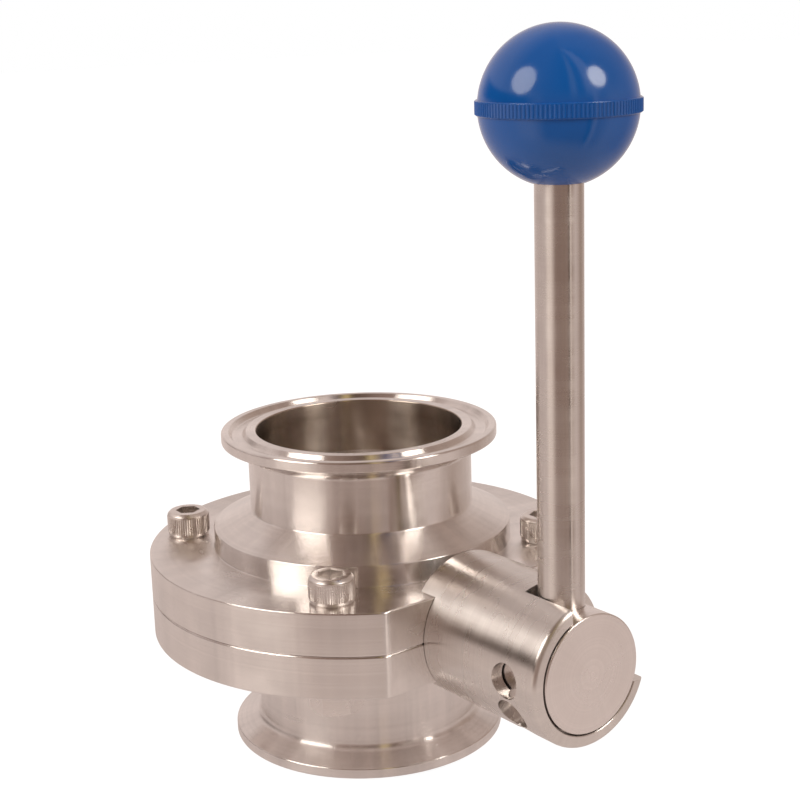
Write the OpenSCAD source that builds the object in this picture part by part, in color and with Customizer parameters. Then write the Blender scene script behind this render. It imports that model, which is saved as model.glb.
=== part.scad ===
// Clamp-end shutoff valve with a sprung pull handle. All sizes are in millimetres.
// The origin is the centre of the lower clamp face. +Z runs along the waterway
// and +X runs along the valve stem, from the disc towards the handle.
// The valve is drawn open: the handle and the disc both stand along the waterway.

/* [Pipe ends] */
// Distance between the two clamp faces
face_to_face = 74; // [72:0.5:78]
// Outside diameter of each clamp ferrule
ferrule_d = 64; // [63.5:0.1:64.5]
// Height of the straight rim of a ferrule
rim_h = 2.4; // [2:0.1:3]
// Slope of the back of a ferrule, in degrees
back_slope = 20; // [15:1:25]
// Bore of each pipe end
bore_d = 47.8; // [47.4:0.1:48]
// Outside diameter of each neck
neck_d = 52; // [51:0.5:53]
// Mean diameter of the gasket groove in a clamp face
groove_d = 56.5; // [56:0.1:57]
// Width of the gasket groove
groove_w = 4; // [3:0.1:4.4]
// Depth of the gasket groove
groove_depth = 1.2; // [0.8:0.1:1.4]

/* [Body halves] */
// Diameter of the bolted flange of each half
flange_d = 100; // [99:0.5:102]
// Thickness of that flange on one half
flange_t = 9.7; // [9.4:0.1:10.5]
// Diameter of the hub between the flange and the cone
hub_d = 69.6; // [69:0.2:70.4]
// Height of the straight side of the hub
hub_h = 4.8; // [4:0.1:5.4]
// Height of the cone between the hub and the neck
cone_h = 4.2; // [3.5:0.1:5]
// Distance from the waterway axis to the flat that carries the lock sleeve
flat_x = 42.9; // [42.5:0.1:43.3]
// Chamfer on the edges of the flange
edge_chamfer = 0.4; // [0.2:0.05:0.6]

/* [Seat, disc and stem] */
// Outside diameter of the seat ring
seat_d = 64; // [63:0.5:64.5]
// Height of the keyed outer part of the seat ring
seat_key_h = 14; // [12:0.5:15]
// Height of the lip of the seat ring, at the waterway
seat_lip_h = 19; // [17:0.5:20]
// Diameter at which the lip meets the keyed part
seat_lip_d = 56; // [54:0.5:58]
// Diameter of the disc
disc_d = 47.4; // [46.8:0.1:47.4]
// Thickness of the disc at its centre
disc_t = 9.6; // [8:0.2:11]
// Thickness of the disc at its rim
disc_rim_t = 3.2; // [2.6:0.1:3.6]
// Diameter of the round part of the stem
stem_d = 12; // [11.6:0.1:12]
// Width across the flats of the square end of the stem
square_w = 8.5; // [8:0.1:8.5]
// Outside diameter of the two stem bushes
bush_d = 15; // [14.6:0.1:15.4]
// Section of the stem O-rings
oring_w = 1.4; // [1.2:0.1:1.5]

/* [Clamp screws] */
// Circle that the four clamp screws stand on
screw_circle_d = 84.5; // [84:0.1:85]
// Thread diameter of a clamp screw
screw_d = 6; // [5:1:6]
// Length of a clamp screw under its head
screw_len = 25; // [25:1:26]
// Diameter of a screw head
screw_head_d = 10; // [9:0.5:10]
// Width across the flats of the socket in a screw head
screw_socket_w = 5; // [4:1:5]
// Width across the flats of a clamp nut
nut_w = 10; // [9:0.5:10]
// Height of a clamp nut
nut_h = 5; // [4:0.5:5]
// Turn of the nuts about their own axes, in degrees
nut_turn = -19; // [-60:1:60]

/* [Lock sleeve] */
// Outside diameter of the lock sleeve
sleeve_d = 31.5; // [31:0.1:32]
// Bore of the lock sleeve
sleeve_bore_d = 26; // [26:0.1:26.4]
// Distance from the waterway axis to the front of the sleeve
sleeve_front_x = 77.5; // [77:0.1:78]
// Distance from the waterway axis to the back of the two tongues
tongue_x = 38; // [36.5:0.1:39]
// Thickness of the web that closes the back of the sleeve
web_t = 4.5; // [4.2:0.1:5]
// Distance from the waterway axis to the back of the handle slot
slot_x = 63.4; // [63:0.1:63.5]
// Diameter of a detent hole
detent_d = 7.6; // [7.6:0.1:8]
// Number of detent holes
detent_count = 4; // [4:1:4]
// Angle that the handle turns from open to closed
turn = 90; // [90:1:90]

/* [Handle] */
// Diameter of the handle head
head_d = 25.3; // [25:0.1:25.4]
// Distance from the waterway axis to the front of the handle head
head_front_x = 77.7; // [77.2:0.1:78.5]
// Diameter of the pull rod
rod_d = 9.6; // [9:0.1:9.6]
// Distance from the waterway axis to the pull rod
rod_x = 68.7; // [68.6:0.1:69]
// Diameter of the lock pin at the foot of the rod
pin_d = 7; // [6.4:0.1:7]
// Travel of the pull rod, from locked to free
pull = 4.5; // [4.2:0.1:4.5]
// Diameter of the ball knob
knob_d = 30.8; // [30:0.1:32]
// Height of the centre of the knob
knob_z = 149.5; // [145:0.5:155]
// Height of the grip band round the knob
band_h = 3; // [2:0.5:4]
// How far the grip band stands out of the ball
band_out = 0.5; // [0.3:0.1:0.7]

/* [Hidden] */
$fn = 96;

// Clearances: radial gap of a running fit, and a gap between parts that only pass each other
run_gap = 0.05;
free_gap = 0.2;
cut = 1;

// Heights and distances worked out from the driving dimensions
split_z = face_to_face / 2;
flange_z = split_z - flange_t;
hub_z = flange_z - hub_h;
neck_top_z = hub_z - cone_h;
disc_bore_d = bore_d + 0.6;
seat_bore_d = disc_bore_d - 0.1;
disc_bore_z = split_z - disc_d / 2 - 0.5;
neck_fillet_r = 2;
rim_round_r = 0.5;

// Stem stations along X
boss_x = disc_d / 2 - 1.7;
bush_in_x = seat_d / 2 + 0.1;
bush_out_x = flat_x - 0.1;
pocket_x = 43.2;
trunnion_x = 42;
oring_x = 35.5;
oring_groove_w = oring_w + 0.5;
oring_mean_r = stem_d / 2 - oring_w / 2 + 0.02;
web_x = flat_x + 0.1;
web_front_x = web_x + web_t;
washer_t = 1;
head_back_x = web_front_x + washer_t + free_gap;
square_x = head_back_x + 0.5;
square_end_x = head_back_x + 10.8;
stem_pin_d = 3;
stem_pin_x = head_back_x + 5.3;

// Screws that hold the sleeve to the body
sleeve_screw_d = 3;
sleeve_screw_head_d = 5.5;
sleeve_screw_head_h = 2;
sleeve_screw_len = 7.5;
sleeve_screw_r = 9.9;
sleeve_screw_angles = [40, 140, 220, 320];

// Stations along the rod, measured from the stem axis with the rod pulled out
spring_shoulder = 4.3;
spring_foot = -0.2;
spring_seat_t = 1.2;
circlip_top = spring_foot - spring_seat_t - 0.05;
circlip_t = 0.9;
circlip_root_d = 8.4;
rod_foot = circlip_top - circlip_t - 0.55;
pin_foot = pull - 15.4;
chamber_d = 13;
plug_foot = -10.3;
plug_t = 2.6;
wire_d = 0.7;
spring_turns = 4.4;
spring_mean_d = 11.2;

// Knob stations
spigot_d = 8;
spigot_z = knob_z - 0.5;
insert_d = 12;
knob_foot_r = 5.6;
knob_foot_z = knob_z - sqrt(pow(knob_d / 2, 2) - pow(knob_foot_r, 2));
insert_foot_z = knob_foot_z + 1;

STEEL = "#c8c1bb";
DARK_STEEL = "#9d9894";

// Points of an arc, for outlines
function arc(centre, r, from, to, steps) =
    [for (i = [0:steps]) let (a = from + (to - from) * i / steps) centre + r * [cos(a), sin(a)]];

// Turns a shape drawn along +Z so that it lies along +X on the stem axis
module on_stem_axis() {
    translate([0, 0, split_z]) rotate([0, 90, 0]) children();
}

// A round bar or hole along the stem axis, between two distances from the waterway axis
module stem_bar(d, from_x, to_x) {
    on_stem_axis() translate([0, 0, from_x]) cylinder(d = d, h = to_x - from_x);
}

// Copies a shape to the four places on the clamp screw circle
module at_clamp_screws() {
    for (a = [45:90:315]) rotate([0, 0, a]) translate([screw_circle_d / 2, 0, 0]) children();
}

// Copies a shape drawn along +X to the places of the sleeve screws
module at_sleeve_screws() {
    for (a = sleeve_screw_angles)
        translate([0, sleeve_screw_r * cos(a), split_z + sleeve_screw_r * sin(a)]) rotate([0, 90, 0]) children();
}

// A tube or bar about the rod axis, between two heights measured from the stem axis
module rod_bar(d, from_z, to_z) {
    translate([rod_x, 0, split_z + from_z]) cylinder(d = d, h = to_z - from_z);
}

// Outline of a body half: radius across, height up
function groove_outline() =
    let (half = groove_w / 2,
         r = (half * half + groove_depth * groove_depth) / (2 * groove_depth),
         a = asin(half / r))
    arc([groove_d / 2, groove_depth - r], r, 90 + a, 90 - a, 10);

function neck_fillet_outline() =
    let (c_r = neck_d / 2 + neck_fillet_r,
         c_z = rim_h + (neck_fillet_r - (c_r - ferrule_d / 2) * sin(back_slope)) / cos(back_slope))
    arc([c_r, c_z], neck_fillet_r, 270 - back_slope, 180, 8);

function half_outline() = concat(
    [[bore_d / 2, 0]],
    groove_outline(),
    arc([ferrule_d / 2 - rim_round_r, rim_round_r], rim_round_r, 270, 360, 5),
    [[ferrule_d / 2, rim_h]],
    neck_fillet_outline(),
    [[neck_d / 2, neck_top_z],
     [hub_d / 2, hub_z],
     [hub_d / 2, flange_z],
     [flange_d / 2 - edge_chamfer, flange_z],
     [flange_d / 2, flange_z + edge_chamfer],
     [flange_d / 2, split_z - edge_chamfer],
     [flange_d / 2 - edge_chamfer, split_z],
     [seat_d / 2, split_z],
     [seat_d / 2, split_z - seat_key_h / 2],
     [seat_lip_d / 2, split_z - seat_key_h / 2],
     [seat_lip_d / 2, split_z - seat_lip_h / 2],
     [disc_bore_d / 2, split_z - seat_lip_h / 2],
     [disc_bore_d / 2, disc_bore_z],
     [bore_d / 2, disc_bore_z]]);

module body_half() {
    difference() {
        rotate_extrude($fn = 160) polygon(half_outline());
        translate([flat_x, -flange_d / 2, flange_z - cut])
            cube([flange_d, flange_d, flange_t + 2 * cut]);
        stem_bar(bush_d, seat_d / 2 - 2, flange_d);
        stem_bar(bush_d, -pocket_x, 2 - seat_d / 2);
        at_clamp_screws() translate([0, 0, flange_z - cut]) cylinder(d = screw_d + 0.4, h = flange_t + 2 * cut);
        at_sleeve_screws() translate([0, 0, flat_x - 6]) cylinder(d = sleeve_screw_d, h = 6 + cut);
    }
}

module lower_body() {
    color(STEEL) body_half();
}

module upper_body() {
    color(STEEL) translate([0, 0, face_to_face]) mirror([0, 0, 1]) body_half();
}

// Silicone ring, keyed between the two halves, that the disc closes against
module seat_ring() {
    key = seat_key_h / 2;
    lip = seat_lip_h / 2;
    color("#e8e4dc") difference() {
        translate([0, 0, split_z]) rotate_extrude() polygon([
            [seat_bore_d / 2, -lip], [seat_lip_d / 2, -lip], [seat_lip_d / 2, -key], [seat_d / 2, -key],
            [seat_d / 2, key], [seat_lip_d / 2, key], [seat_lip_d / 2, lip], [seat_bore_d / 2, lip]]);
        stem_bar(stem_d + 2 * run_gap, -seat_d, seat_d);
    }
}

module drive_bush() {
    color("#f1efe9") difference() {
        stem_bar(bush_d, bush_in_x, bush_out_x);
        stem_bar(stem_d + 2 * run_gap, 0, flange_d);
    }
}

// Closed bush that carries the short end of the stem
module end_bush() {
    color("#f1efe9") difference() {
        stem_bar(bush_d, 0.1 - pocket_x, -bush_in_x);
        stem_bar(stem_d + 2 * run_gap, -trunnion_x - free_gap, 0);
    }
}

module clamp_screws() {
    head_h = screw_d;
    head_r = screw_head_d / 2;
    point = 0.6;
    color("#b7b1ac") at_clamp_screws() translate([0, 0, face_to_face - flange_z]) difference() {
        rotate_extrude() polygon([
            [0, -screw_len], [screw_d / 2 - point, -screw_len], [screw_d / 2, point - screw_len],
            [screw_d / 2, 0], [head_r - 0.3, 0], [head_r, 0.3], [head_r, head_h - 0.7],
            [head_r - 0.7, head_h], [0, head_h]]);
        translate([0, 0, head_h - 3]) cylinder(d = screw_socket_w / cos(30), h = 3 + cut, $fn = 6);
    }
}

module clamp_nuts() {
    corner_r = nut_w / 2 / cos(30);
    chamfer = (corner_r - nut_w / 2) * tan(30);
    color("#b7b1ac") at_clamp_screws() translate([0, 0, flange_z - nut_h]) difference() {
        intersection() {
            rotate([0, 0, nut_turn]) cylinder(r = corner_r, h = nut_h, $fn = 6);
            rotate_extrude() polygon([
                [0, 0], [nut_w / 2, 0], [corner_r, chamfer], [corner_r, nut_h - chamfer],
                [nut_w / 2, nut_h], [0, nut_h]]);
        }
        translate([0, 0, -cut]) cylinder(d = screw_d, h = nut_h + 2 * cut);
    }
}

// Round housing that the handle head turns in, with the slot that the rod sweeps
// and the row of holes that the lock pin drops into
function sleeve_outline() = concat(
    [[stem_d / 2 + 0.4, web_x], [sleeve_d / 2, web_x]],
    arc([sleeve_d / 2 - 1.2, sleeve_front_x - 1.2], 1.2, 0, 90, 6),
    [[sleeve_bore_d / 2 + 0.4, sleeve_front_x],
     [sleeve_bore_d / 2, sleeve_front_x - 0.4],
     [sleeve_bore_d / 2, web_front_x],
     [stem_d / 2 + 0.4, web_front_x]]);

module sleeve_tongues() {
    difference() {
        stem_bar(sleeve_d, tongue_x, web_x);
        translate([0, -sleeve_d, flange_z - 0.02]) cube([sleeve_front_x, 2 * sleeve_d, 2 * flange_t + 0.04]);
    }
}

module lock_sleeve() {
    slot_edge = rod_d / 2 + 0.3;
    color(STEEL) difference() {
        union() {
            on_stem_axis() rotate_extrude() polygon(sleeve_outline());
            sleeve_tongues();
        }
        translate([slot_x, -slot_edge, split_z - slot_edge]) cube([sleeve_d, sleeve_d, sleeve_d]);
        for (i = [0:detent_count - 1])
            translate([rod_x, 0, split_z]) rotate([turn + i * turn / (detent_count - 1), 0, 0])
                translate([0, 0, head_d / 2 - 1]) cylinder(d = detent_d, h = sleeve_d);
        at_sleeve_screws() translate([0, 0, web_x - cut]) cylinder(d = sleeve_screw_d + 0.2, h = web_t + 2 * cut);
        at_sleeve_screws() translate([0, 0, web_front_x - sleeve_screw_head_h - 0.2])
            cylinder(d = sleeve_screw_head_d + 0.3, h = web_t);
    }
}

module sleeve_screws() {
    seat_x = web_front_x - sleeve_screw_head_h - 0.2;
    color("#b7b1ac") at_sleeve_screws() translate([0, 0, seat_x]) difference() {
        union() {
            translate([0, 0, -sleeve_screw_len]) cylinder(d = sleeve_screw_d, h = sleeve_screw_len);
            cylinder(d = sleeve_screw_head_d, h = sleeve_screw_head_h);
        }
        translate([0, 0, sleeve_screw_head_h - 1.2]) cylinder(d = 2.5 / cos(30), h = 2, $fn = 6);
    }
}

// Slippery ring between the web of the sleeve and the handle head
module thrust_washer() {
    color("#f1efe9") difference() {
        stem_bar(sleeve_bore_d - 1.2, web_front_x, web_front_x + washer_t);
        stem_bar(stem_d + 2 * run_gap, web_x, sleeve_front_x);
    }
}

// Outline of the disc: distance from its centre across, thickness up. Its faces are flat cones
// that get steeper towards a chamfered rim.
function disc_face() =
    let (rim = disc_rim_t / 2,
         edge_r = disc_d / 2 - rim,
         shoulder_t = disc_t / 2 - 0.28 * (disc_t / 2 - rim))
    [[disc_d / 2, 0.4 * rim], [edge_r, rim], [edge_r * 0.55, shoulder_t], [0, disc_t / 2]];

function disc_outline() =
    let (face = disc_face(), last = len(face) - 1)
    concat(face, [for (i = [last:-1:0]) [face[i][0], -face[i][1]]]);

module disc_plate() {
    translate([0, 0, split_z]) rotate([90, 0, 0]) rotate_extrude() polygon(disc_outline());
}

// Outline of the stem: radius across, distance from the waterway axis up
function groove_steps(x) =
    [[stem_d / 2, x - oring_groove_w / 2], [stem_d / 2 - oring_w, x - oring_groove_w / 2],
     [stem_d / 2 - oring_w, x + oring_groove_w / 2], [stem_d / 2, x + oring_groove_w / 2]];

function stem_outline() = concat(
    [[0, -trunnion_x], [stem_d / 2 - 0.5, -trunnion_x], [stem_d / 2, 0.5 - trunnion_x]],
    groove_steps(-oring_x),
    [[stem_d / 2, -boss_x], [bush_d / 2, -boss_x], [bush_d / 2, boss_x], [stem_d / 2, boss_x]],
    groove_steps(oring_x),
    [[stem_d / 2, square_end_x - 0.5], [0, square_end_x - 0.5]]);

// The disc and its stem are one piece: a short round end, a long round end and a square drive
module disc() {
    color(DARK_STEEL) difference() {
        union() {
            disc_plate();
            on_stem_axis() rotate_extrude() polygon(stem_outline());
        }
        for (side = [0:90:270]) translate([square_x, 0, split_z]) rotate([side, 0, 0])
            translate([0, -stem_d, square_w / 2]) cube([stem_d, 2 * stem_d, stem_d]);
        translate([stem_pin_x, 0, split_z]) rotate([90, 0, 0]) cylinder(d = stem_pin_d, h = stem_d + cut, center = true);
    }
}

module stem_orings() {
    color("#2b2b2b") for (side = [-1, 1])
        on_stem_axis() translate([0, 0, side * oring_x])
            rotate_extrude() translate([oring_mean_r, 0]) circle(d = oring_w - 0.02, $fn = 24);
}

// Round block on the end of the stem that carries the pull rod
module handle_head() {
    chamfer = 0.4;
    color(STEEL) difference() {
        on_stem_axis() rotate_extrude() polygon([
            [0, head_back_x], [head_d / 2 - chamfer, head_back_x], [head_d / 2, head_back_x + chamfer],
            [head_d / 2, head_front_x - chamfer], [head_d / 2 - chamfer, head_front_x], [0, head_front_x]]);
        translate([head_back_x - cut, -square_w / 2 - run_gap, split_z - square_w / 2 - run_gap])
            cube([square_end_x - head_back_x + cut, square_w + 2 * run_gap, square_w + 2 * run_gap]);
        stem_bar(stem_d + 2 * run_gap, head_back_x - cut, square_x + 0.1);
        translate([stem_pin_x, 0, split_z]) rotate([90, 0, 0]) cylinder(d = stem_pin_d, h = 2 * head_d, center = true);
        rod_bar(rod_d + 2 * (run_gap + 0.01), 0, head_d);
        rod_bar(chamber_d, -head_d, spring_shoulder);
    }
}

module stem_pin() {
    length = head_d - 0.9;
    color(DARK_STEEL) translate([stem_pin_x, 0, split_z]) rotate([90, 0, 0]) difference() {
        cylinder(d = stem_pin_d, h = length, center = true);
        cylinder(d = stem_pin_d / 2, h = length + cut, center = true);
    }
}

// Ring screwed into the foot of the head, which guides the lock pin and closes the spring chamber
module guide_plug() {
    color(DARK_STEEL) difference() {
        rod_bar(chamber_d, plug_foot, plug_foot + plug_t);
        rod_bar(pin_d + 2 * (run_gap + 0.01), -head_d, head_d);
    }
}

// A coil, swept along a helix whose two ends lie flat
function coil_point(t, side) =
    let (a = 360 * spring_turns * t,
         reach = (spring_mean_d + wire_d * cos(side)) / 2,
         low = spring_foot + wire_d / 2 + 0.06,
         rise = spring_shoulder - spring_foot - wire_d - 0.12)
    [rod_x + reach * cos(a), reach * sin(a), split_z + low + rise * t + wire_d / 2 * sin(side)];

module handle_spring() {
    sides = 8;
    rings = 110;
    points = [for (i = [0:rings]) for (k = [0:sides - 1]) coil_point(i / rings, 360 * k / sides)];
    skin = [for (i = [0:rings - 1]) for (k = [0:sides - 1])
        let (n = (k + 1) % sides)
        [i * sides + k, (i + 1) * sides + k, (i + 1) * sides + n, i * sides + n]];
    ends = [[for (k = [0:sides - 1]) k], [for (k = [sides - 1:-1:0]) rings * sides + k]];
    color("#8d8a86") polyhedron(points, concat(skin, ends));
}

// Rod with the lock pin at its foot and a threaded spigot for the knob at its top
module pull_rod() {
    color(STEEL) difference() {
        union() {
            rod_bar(rod_d, rod_foot, insert_foot_z - split_z);
            rod_bar(spigot_d, 0, spigot_z - split_z);
            translate([rod_x, 0, split_z]) rotate_extrude() polygon([
                [0, pin_foot], [pin_d / 2 - 0.6, pin_foot], [pin_d / 2, pin_foot + 0.6],
                [pin_d / 2, rod_foot], [0, rod_foot]]);
        }
        difference() {
            rod_bar(rod_d + cut, circlip_top - circlip_t - 0.05, circlip_top + 0.05);
            rod_bar(circlip_root_d, -head_d, head_d);
        }
    }
}

module spring_seat() {
    color(DARK_STEEL) difference() {
        rod_bar(chamber_d - 0.6, spring_foot - spring_seat_t, spring_foot);
        rod_bar(rod_d + 0.1, -head_d, head_d);
    }
}

// Open snap ring in the groove of the rod, under the spring seat
module circlip() {
    color("#55524f") difference() {
        rod_bar(chamber_d - 1.2, circlip_top - circlip_t, circlip_top);
        rod_bar(circlip_root_d, -head_d, head_d);
        translate([rod_x, -2, split_z - head_d / 2]) cube([chamber_d, 4, head_d]);
    }
}

module ball_knob() {
    color("#1553a5") translate([rod_x, 0, 0]) difference() {
        union() {
            translate([0, 0, knob_z]) sphere(d = knob_d);
            translate([0, 0, knob_z - band_h / 2]) cylinder(d = knob_d + 2 * band_out, h = band_h);
        }
        translate([0, 0, knob_foot_z - knob_d]) cylinder(d = knob_d, h = knob_d);
        translate([0, 0, knob_foot_z - cut]) cylinder(d = rod_d, h = insert_foot_z - knob_foot_z + cut);
        translate([0, 0, insert_foot_z]) cylinder(d = insert_d, h = spigot_z - insert_foot_z + 1);
        translate([0, 0, knob_foot_z]) cylinder(d = spigot_d, h = insert_foot_z - knob_foot_z + cut);
    }
}

module knob_insert() {
    color("#b08d57") translate([rod_x, 0, insert_foot_z]) difference() {
        cylinder(d = insert_d, h = spigot_z - insert_foot_z + 1);
        translate([0, 0, -cut]) cylinder(d = spigot_d, h = spigot_z - insert_foot_z + cut);
    }
}

lower_body();
upper_body();
seat_ring();
drive_bush();
end_bush();
clamp_screws();
clamp_nuts();
lock_sleeve();
sleeve_screws();
thrust_washer();
disc();
stem_orings();
handle_head();
stem_pin();
guide_plug();
handle_spring();
pull_rod();
spring_seat();
circlip();
ball_knob();
knob_insert();
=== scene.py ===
# %% [markdown]
# A clamp-end shutoff valve with a sprung pull handle, dressed for a studio picture.
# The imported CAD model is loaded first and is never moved. Each visible CAD part is then
# either given a finish of its own, or hidden behind a finer mesh that stands in the same place.
# Almost every part of this valve was made on a lathe, so most meshes here are turned too:
# an outline in two dimensions, with a small round on each corner, spun about an axis.
# What repeats (screws, knurls, ribs, coils) is made with Geometry Nodes.

from math import acos, asin, ceil, cos, degrees, pi, radians, sin, sqrt, tan

import bmesh
import bpy
from mathutils import Matrix, Vector


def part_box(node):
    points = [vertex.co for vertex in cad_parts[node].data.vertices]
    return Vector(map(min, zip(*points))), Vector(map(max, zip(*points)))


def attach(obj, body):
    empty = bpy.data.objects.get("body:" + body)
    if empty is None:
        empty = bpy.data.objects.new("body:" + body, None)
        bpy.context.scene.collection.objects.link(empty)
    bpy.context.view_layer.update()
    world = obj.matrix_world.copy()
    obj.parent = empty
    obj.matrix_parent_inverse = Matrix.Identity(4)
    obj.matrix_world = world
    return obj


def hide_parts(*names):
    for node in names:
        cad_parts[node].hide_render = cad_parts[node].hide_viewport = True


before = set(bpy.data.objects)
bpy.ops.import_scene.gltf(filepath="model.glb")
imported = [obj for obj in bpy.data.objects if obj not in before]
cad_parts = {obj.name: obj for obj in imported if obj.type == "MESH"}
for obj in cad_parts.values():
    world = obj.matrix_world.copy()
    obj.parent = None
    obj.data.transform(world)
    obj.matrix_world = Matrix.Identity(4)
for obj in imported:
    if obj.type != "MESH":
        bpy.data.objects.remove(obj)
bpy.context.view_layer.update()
MM = 0.001
print("nodes:", sorted(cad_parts))

# %% [markdown]
# Two things fix every size below: the CAD boxes, and a few sizes that a box can't show,
# such as a bore inside a part. All sizes are written in millimetres and scaled at the end.

# %% Sizes in millimetres
def box_mm(node):
    low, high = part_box(node)
    return low / MM, high / MM


BODY_LOW, BODY_HIGH = box_mm("lower_body")
SLEEVE_LOW, SLEEVE_HIGH = box_mm("lock_sleeve")
HEAD_LOW, HEAD_HIGH = box_mm("handle_head")
ROD_LOW, ROD_HIGH = box_mm("pull_rod")
KNOB_HIGH = box_mm("ball_knob")[1]

SPLIT_Z = BODY_HIGH.z
FLANGE_R = -BODY_LOW.x
FLAT_X = BODY_HIGH.x
FLANGE_T = 9.7
HUB_R, HUB_H, CONE_H = 34.8, 4.8, 4.2
NECK_R, BORE_R, DISC_BORE_R, DISC_BORE_Z = 26.0, 23.9, 24.2, 12.8
FERRULE_R, RIM_H, BACK_SLOPE = 32.0, 2.4, radians(20)
SEAT_R, LIP_R, SEAT_BORE_R = 32.0, 28.0, 24.15
STEM_R, BUSH_R = 6.0, 7.5
SCREW_CIRCLE_R = 42.25
ROD_X = (ROD_LOW.x + ROD_HIGH.x) / 2
ROD_R = (ROD_HIGH.x - ROD_LOW.x) / 2
SLEEVE_R, SLEEVE_BORE_R = SLEEVE_HIGH.y, 13.0
HEAD_R = HEAD_HIGH.y
KNOB_R = 15.4
KNOB_Z = KNOB_HIGH.z - KNOB_R
print(f"flange {2 * FLANGE_R:.1f} mm across, rod {2 * ROD_R:.1f} mm, knob centre at {KNOB_Z:.1f} mm")

# %% [markdown]
# The camera stands a little above the valve and to the side of its handle, far enough away that the
# flange looks only gently curved. The lens is a fairly long one. It could be aimed with a Track To
# constraint, but three plain angles are easier to read and to change.

# %% Camera
CAMERA_PLACE = Vector((0.2956, -0.2105, 0.1699))
CAMERA_YAW, CAMERA_TILT, CAMERA_ROLL = radians(53.0), radians(13.98), radians(-1.75)

camera = bpy.data.objects.new("camera", bpy.data.cameras.new("camera"))
bpy.context.scene.collection.objects.link(camera)
camera.data.sensor_width = 36
camera.data.lens = 72.5
turned = (Matrix.Rotation(CAMERA_YAW, 4, "Z") @ Matrix.Rotation(pi / 2 - CAMERA_TILT, 4, "X")
          @ Matrix.Rotation(CAMERA_ROLL, 4, "Z"))
camera.matrix_world = Matrix.Translation(CAMERA_PLACE) @ turned
bpy.context.scene.camera = camera
print("camera turned", [round(degrees(a), 1) for a in turned.to_euler()])

# %% [markdown]
# Polished steel has hardly any colour of its own: it shows the room. So the room comes first.
# The floor and everything behind the valve are white. The side where the camera stands is dim and
# brownish, with a window on the left, a doorway and a narrow window on the right, and a brass-coloured
# strip higher up. An HDR picture could stand in for such a room, but a few painted panels can be
# placed and changed one by one. Two round soft boxes, high to the left and right, make the two ovals
# on the knob.

# %% Nodes and colours
def linear(hex_colour):
    """An sRGB hex colour as the linear RGBA that shaders use."""
    parts = [int(hex_colour[i:i + 2], 16) / 255 for i in (1, 3, 5)]
    return [c / 12.92 if c <= 0.04045 else ((c + 0.055) / 1.055) ** 2.4 for c in parts] + [1.0]


def node(tree, kind, inputs=None, **settings):
    """Adds a node to a tree. A value that is a socket is linked, any other is set."""
    new = tree.nodes.new(kind)
    for name, value in settings.items():
        setattr(new, name, value)
    for name, value in (inputs or {}).items():
        if isinstance(value, bpy.types.NodeSocket):
            tree.links.new(value, new.inputs[name])
        else:
            new.inputs[name].default_value = value
    return new


def ramp(tree, factor, stops):
    """A colour ramp with stops given as (place, hex colour)."""
    new = node(tree, "ShaderNodeValToRGB", {"Fac": factor})
    elements = new.color_ramp.elements
    for i, (place, colour) in enumerate(stops):
        element = elements[i] if i < 2 else elements.new(place)
        element.position = place
        element.color = linear(colour)
    return new.outputs["Color"]


# %% Room
WHITE = "#ffffff"
WARM_LAMPS = (0.98, 0.89, 0.86)
room = bpy.data.worlds.new("studio")
bpy.context.scene.world = room
room.use_nodes = True
tree = room.node_tree
tree.nodes.clear()
ray = node(tree, "ShaderNodeTexCoord").outputs["Generated"]
to_camera = (turned @ Vector((0, 0, 1))).normalized()
to_camera.z = 0
to_camera.normalize()
facing = node(tree, "ShaderNodeVectorMath", {0: ray, 1: to_camera}, operation="DOT_PRODUCT").outputs["Value"]
side = node(tree, "ShaderNodeVectorMath", {0: ray, 1: Vector((0, 0, 1)).cross(to_camera)},
            operation="DOT_PRODUCT").outputs["Value"]
around = node(tree, "ShaderNodeMath", {0: side, 1: facing}, operation="ARCTAN2").outputs[0]
turn_share = node(tree, "ShaderNodeMapRange", {"Value": around, "From Min": -pi, "From Max": pi}).outputs[0]
PALE, WALL, SHADE, BACKDROP, SHELF = "#ebe6e3", "#d8d0cc", "#a89a90", "#dcd6d3", "#4a3f39"
BROWN, DOORWAY, WINDOW, BRASSY = "#94837a", "#55463c", "#f4ece4", "#d2c48c"


def panorama(*panels):
    """The room's walls, from panels given as (degrees to the right of the camera, colour)."""
    return ramp(tree, turn_share, [((turned_right + 180) / 360, colour) for turned_right, colour in panels])


# At eye level: pale behind the valve, a window on the left, a doorway and a narrow window on the right.
walls = panorama((-180, PALE), (-135, WALL), (-75, WALL), (-60, WINDOW), (-45, WINDOW), (-25, BROWN),
                 (35, BROWN), (38, DOORWAY), (43, DOORWAY), (46, WINDOW), (49, WINDOW), (52, SHADE),
                 (75, WALL), (110, SHADE), (180, PALE))
height = node(tree, "ShaderNodeSeparateXYZ", {"Vector": ray}).outputs["Z"]
above = node(tree, "ShaderNodeMapRange", {"Value": height, "From Min": 0.15, "From Max": 0.45}).outputs[0]
# The backdrop reaches further forward on the left than on the right.
leaning = node(tree, "ShaderNodeMath", {0: side, 1: 0.6, 2: facing}, operation="MULTIPLY_ADD").outputs[0]
behind = node(tree, "ShaderNodeMapRange", {"Value": leaning, "From Min": -0.3, "From Max": -0.75}).outputs[0]
# Higher up the front of the room is dark, but for one brass-coloured strip and the top of the window.
strips = panorama((-35, BROWN), (10, DOORWAY), (14, BRASSY), (20, BRASSY), (23, DOORWAY), (33, DOORWAY),
                  (37, WINDOW), (55, WINDOW), (58, DOORWAY), (70, BROWN), (110, SHADE))
dim = node(tree, "ShaderNodeMix", {0: behind, 6: strips, 7: linear(BACKDROP)}, data_type="RGBA")
upper = node(tree, "ShaderNodeMix", {0: above, 6: walls, 7: dim.outputs[2]}, data_type="RGBA").outputs[2]
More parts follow.
